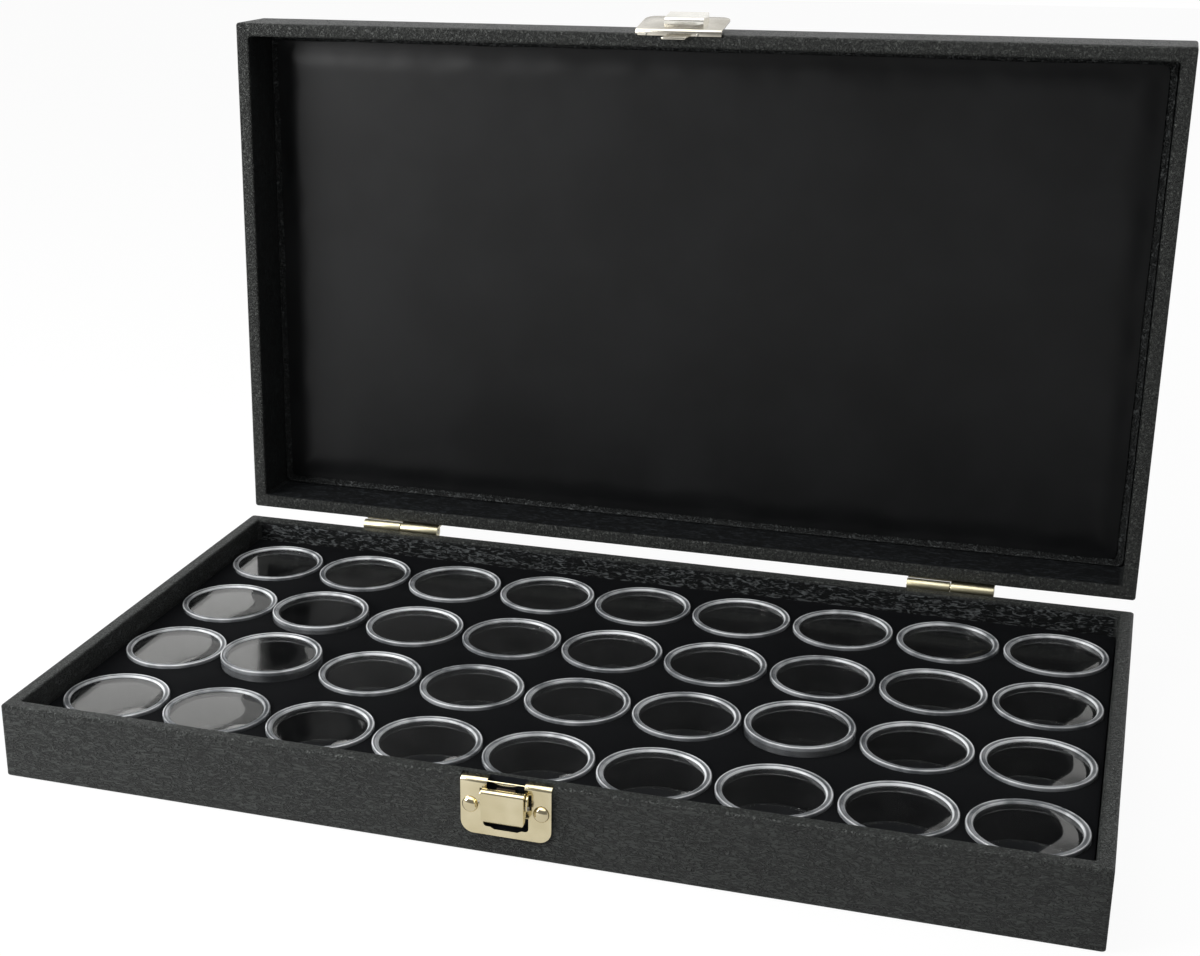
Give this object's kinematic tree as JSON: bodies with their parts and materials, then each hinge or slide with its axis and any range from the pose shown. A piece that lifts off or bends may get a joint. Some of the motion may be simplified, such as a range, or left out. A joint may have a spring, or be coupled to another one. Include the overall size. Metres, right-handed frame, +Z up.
{
  "type": "gem jar display case",
  "caption": "Shallow hinged display case, open, with a foam insert that holds rows of clear round gem jars, and a spring catch on the front.",
  "frame": {"origin": "middle of the base's underside, the plane that the case stands on", "axes": "+X along the front edge to the right, +Y from the catch towards the hinges, +Z up"},
  "size_m": [0.3746, 0.2481, 0.2466],
  "materials": {
    "leatherette": "wrinkled satin grain",
    "lining": "smooth satin",
    "foam": "matte",
    "card": "matte",
    "nickel": "satin plated",
    "steel": "plain",
    "clear_plastic": "clear gloss"
  },
  "bodies": {
    "base": {"base_front_wall": "leatherette", "base_back_wall": "leatherette", "base_left_wall": "leatherette", "base_right_wall": "leatherette", "base_bottom_panel": "leatherette", "catch_plate": "nickel", "catch_lever_pin": "nickel", "catch_spring": "steel", "catch_rivet_left": "nickel", "catch_rivet_right": "nickel", "hinge_left_base_leaf": "nickel", "hinge_left_pin": "steel", "hinge_right_base_leaf": "nickel", "hinge_right_pin": "steel"},
    "catch_lever_body": {"catch_lever": "nickel"},
    "insert": {"foam_insert": "foam", "insert_backing_card": "card"},
    "lid": {"lid_wall_frame": "leatherette", "lid_top_panel": "leatherette", "lid_lining_panel": "lining", "keeper_plate": "nickel", "keeper_grip": "nickel", "hinge_left_lid_leaf": "nickel", "hinge_right_lid_leaf": "nickel"},
    "jar_r1_c1_body": {"jar_r1_c1": "clear_plastic"},
    "jar_r1_c2_body": {"jar_r1_c2": "clear_plastic"},
    "jar_r1_c3_body": {"jar_r1_c3": "clear_plastic"},
    "jar_r1_c4_body": {"jar_r1_c4": "clear_plastic"},
    "jar_r1_c5_body": {"jar_r1_c5": "clear_plastic"},
    "jar_r1_c6_body": {"jar_r1_c6": "clear_plastic"},
    "jar_r1_c7_body": {"jar_r1_c7": "clear_plastic"},
    "jar_r1_c8_body": {"jar_r1_c8": "clear_plastic"},
    "jar_r1_c9_body": {"jar_r1_c9": "clear_plastic"},
    "jar_r2_c1_body": {"jar_r2_c1": "clear_plastic"},
    "jar_r2_c2_body": {"jar_r2_c2": "clear_plastic"},
    "jar_r2_c3_body": {"jar_r2_c3": "clear_plastic"},
    "jar_r2_c4_body": {"jar_r2_c4": "clear_plastic"},
    "jar_r2_c5_body": {"jar_r2_c5": "clear_plastic"},
    "jar_r2_c6_body": {"jar_r2_c6": "clear_plastic"},
    "jar_r2_c7_body": {"jar_r2_c7": "clear_plastic"},
    "jar_r2_c8_body": {"jar_r2_c8": "clear_plastic"},
    "jar_r2_c9_body": {"jar_r2_c9": "clear_plastic"},
    "jar_r3_c1_body": {"jar_r3_c1": "clear_plastic"},
    "jar_r3_c2_body": {"jar_r3_c2": "clear_plastic"},
    "jar_r3_c3_body": {"jar_r3_c3": "clear_plastic"},
    "jar_r3_c4_body": {"jar_r3_c4": "clear_plastic"},
    "jar_r3_c5_body": {"jar_r3_c5": "clear_plastic"},
    "jar_r3_c6_body": {"jar_r3_c6": "clear_plastic"},
    "jar_r3_c7_body": {"jar_r3_c7": "clear_plastic"},
    "jar_r3_c8_body": {"jar_r3_c8": "clear_plastic"},
    "jar_r3_c9_body": {"jar_r3_c9": "clear_plastic"},
    "jar_r4_c1_body": {"jar_r4_c1": "clear_plastic"},
    "jar_r4_c2_body": {"jar_r4_c2": "clear_plastic"},
    "jar_r4_c3_body": {"jar_r4_c3": "clear_plastic"},
    "jar_r4_c4_body": {"jar_r4_c4": "clear_plastic"},
    "jar_r4_c5_body": {"jar_r4_c5": "clear_plastic"},
    "jar_r4_c6_body": {"jar_r4_c6": "clear_plastic"},
    "jar_r4_c7_body": {"jar_r4_c7": "clear_plastic"},
    "jar_r4_c8_body": {"jar_r4_c8": "clear_plastic"},
    "jar_r4_c9_body": {"jar_r4_c9": "clear_plastic"}
  },
  "joints": [
    {"name": "case_lid_hinge", "type": "hinge", "parent": "base", "child": "lid", "pos_m": [0, 0.10758, 0.0279], "axis": [-1, 0, 0], "range_deg": [-91.1, 0]},
    {"name": "catch_lever_press", "type": "hinge", "parent": "base", "child": "catch_lever_body", "pos_m": [0, -0.10748, 0.0201], "axis": [1, 0, 0], "range_deg": [0, 15], "stiffness_Nm_per_rad": 0.05, "springref_deg": -9.74, "deforming": ["catch_spring"]},
    {"name": "insert_lift", "type": "slide", "parent": "base", "child": "insert", "axis": [0, 0, 1], "range_m": [0, 0.06]},
    {"name": "jar_r1_c1_lift", "type": "slide", "parent": "insert", "child": "jar_r1_c1_body", "axis": [0, 0, 1], "range_m": [0, 0.04]},
    {"name": "jar_r1_c2_lift", "type": "slide", "parent": "insert", "child": "jar_r1_c2_body", "axis": [0, 0, 1], "range_m": [0, 0.04]},
    {"name": "jar_r1_c3_lift", "type": "slide", "parent": "insert", "child": "jar_r1_c3_body", "axis": [0, 0, 1], "range_m": [0, 0.04]},
    {"name": "jar_r1_c4_lift", "type": "slide", "parent": "insert", "child": "jar_r1_c4_body", "axis": [0, 0, 1], "range_m": [0, 0.04]},
    {"name": "jar_r1_c5_lift", "type": "slide", "parent": "insert", "child": "jar_r1_c5_body", "axis": [0, 0, 1], "range_m": [0, 0.04]},
    {"name": "jar_r1_c6_lift", "type": "slide", "parent": "insert", "child": "jar_r1_c6_body", "axis": [0, 0, 1], "range_m": [0, 0.04]},
    {"name": "jar_r1_c7_lift", "type": "slide", "parent": "insert", "child": "jar_r1_c7_body", "axis": [0, 0, 1], "range_m": [0, 0.04]},
    {"name": "jar_r1_c8_lift", "type": "slide", "parent": "insert", "child": "jar_r1_c8_body", "axis": [0, 0, 1], "range_m": [0, 0.04]},
    {"name": "jar_r1_c9_lift", "type": "slide", "parent": "insert", "child": "jar_r1_c9_body", "axis": [0, 0, 1], "range_m": [0, 0.04]},
    {"name": "jar_r2_c1_lift", "type": "slide", "parent": "insert", "child": "jar_r2_c1_body", "axis": [0, 0, 1], "range_m": [0, 0.04]},
    {"name": "jar_r2_c2_lift", "type": "slide", "parent": "insert", "child": "jar_r2_c2_body", "axis": [0, 0, 1], "range_m": [0, 0.04]},
    {"name": "jar_r2_c3_lift", "type": "slide", "parent": "insert", "child": "jar_r2_c3_body", "axis": [0, 0, 1], "range_m": [0, 0.04]},
    {"name": "jar_r2_c4_lift", "type": "slide", "parent": "insert", "child": "jar_r2_c4_body", "axis": [0, 0, 1], "range_m": [0, 0.04]},
    {"name": "jar_r2_c5_lift", "type": "slide", "parent": "insert", "child": "jar_r2_c5_body", "axis": [0, 0, 1], "range_m": [0, 0.04]},
    {"name": "jar_r2_c6_lift", "type": "slide", "parent": "insert", "child": "jar_r2_c6_body", "axis": [0, 0, 1], "range_m": [0, 0.04]},
    {"name": "jar_r2_c7_lift", "type": "slide", "parent": "insert", "child": "jar_r2_c7_body", "axis": [0, 0, 1], "range_m": [0, 0.04]},
    {"name": "jar_r2_c8_lift", "type": "slide", "parent": "insert", "child": "jar_r2_c8_body", "axis": [0, 0, 1], "range_m": [0, 0.04]},
    {"name": "jar_r2_c9_lift", "type": "slide", "parent": "insert", "child": "jar_r2_c9_body", "axis": [0, 0, 1], "range_m": [0, 0.04]},
    {"name": "jar_r3_c1_lift", "type": "slide", "parent": "insert", "child": "jar_r3_c1_body", "axis": [0, 0, 1], "range_m": [0, 0.04]},
    {"name": "jar_r3_c2_lift", "type": "slide", "parent": "insert", "child": "jar_r3_c2_body", "axis": [0, 0, 1], "range_m": [0, 0.04]},
    {"name": "jar_r3_c3_lift", "type": "slide", "parent": "insert", "child": "jar_r3_c3_body", "axis": [0, 0, 1], "range_m": [0, 0.04]},
    {"name": "jar_r3_c4_lift", "type": "slide", "parent": "insert", "child": "jar_r3_c4_body", "axis": [0, 0, 1], "range_m": [0, 0.04]},
    {"name": "jar_r3_c5_lift", "type": "slide", "parent": "insert", "child": "jar_r3_c5_body", "axis": [0, 0, 1], "range_m": [0, 0.04]},
    {"name": "jar_r3_c6_lift", "type": "slide", "parent": "insert", "child": "jar_r3_c6_body", "axis": [0, 0, 1], "range_m": [0, 0.04]},
    {"name": "jar_r3_c7_lift", "type": "slide", "parent": "insert", "child": "jar_r3_c7_body", "axis": [0, 0, 1], "range_m": [0, 0.04]},
    {"name": "jar_r3_c8_lift", "type": "slide", "parent": "insert", "child": "jar_r3_c8_body", "axis": [0, 0, 1], "range_m": [0, 0.04]},
    {"name": "jar_r3_c9_lift", "type": "slide", "parent": "insert", "child": "jar_r3_c9_body", "axis": [0, 0, 1], "range_m": [0, 0.04]},
    {"name": "jar_r4_c1_lift", "type": "slide", "parent": "insert", "child": "jar_r4_c1_body", "axis": [0, 0, 1], "range_m": [0, 0.04]},
    {"name": "jar_r4_c2_lift", "type": "slide", "parent": "insert", "child": "jar_r4_c2_body", "axis": [0, 0, 1], "range_m": [0, 0.04]},
    {"name": "jar_r4_c3_lift", "type": "slide", "parent": "insert", "child": "jar_r4_c3_body", "axis": [0, 0, 1], "range_m": [0, 0.04]},
    {"name": "jar_r4_c4_lift", "type": "slide", "parent": "insert", "child": "jar_r4_c4_body", "axis": [0, 0, 1], "range_m": [0, 0.04]},
    {"name": "jar_r4_c5_lift", "type": "slide", "parent": "insert", "child": "jar_r4_c5_body", "axis": [0, 0, 1], "range_m": [0, 0.04]},
    {"name": "jar_r4_c6_lift", "type": "slide", "parent": "insert", "child": "jar_r4_c6_body", "axis": [0, 0, 1], "range_m": [0, 0.04]},
    {"name": "jar_r4_c7_lift", "type": "slide", "parent": "insert", "child": "jar_r4_c7_body", "axis": [0, 0, 1], "range_m": [0, 0.04]},
    {"name": "jar_r4_c8_lift", "type": "slide", "parent": "insert", "child": "jar_r4_c8_body", "axis": [0, 0, 1], "range_m": [0, 0.04]},
    {"name": "jar_r4_c9_lift", "type": "slide", "parent": "insert", "child": "jar_r4_c9_body", "axis": [0, 0, 1], "range_m": [0, 0.04]}
  ]
}
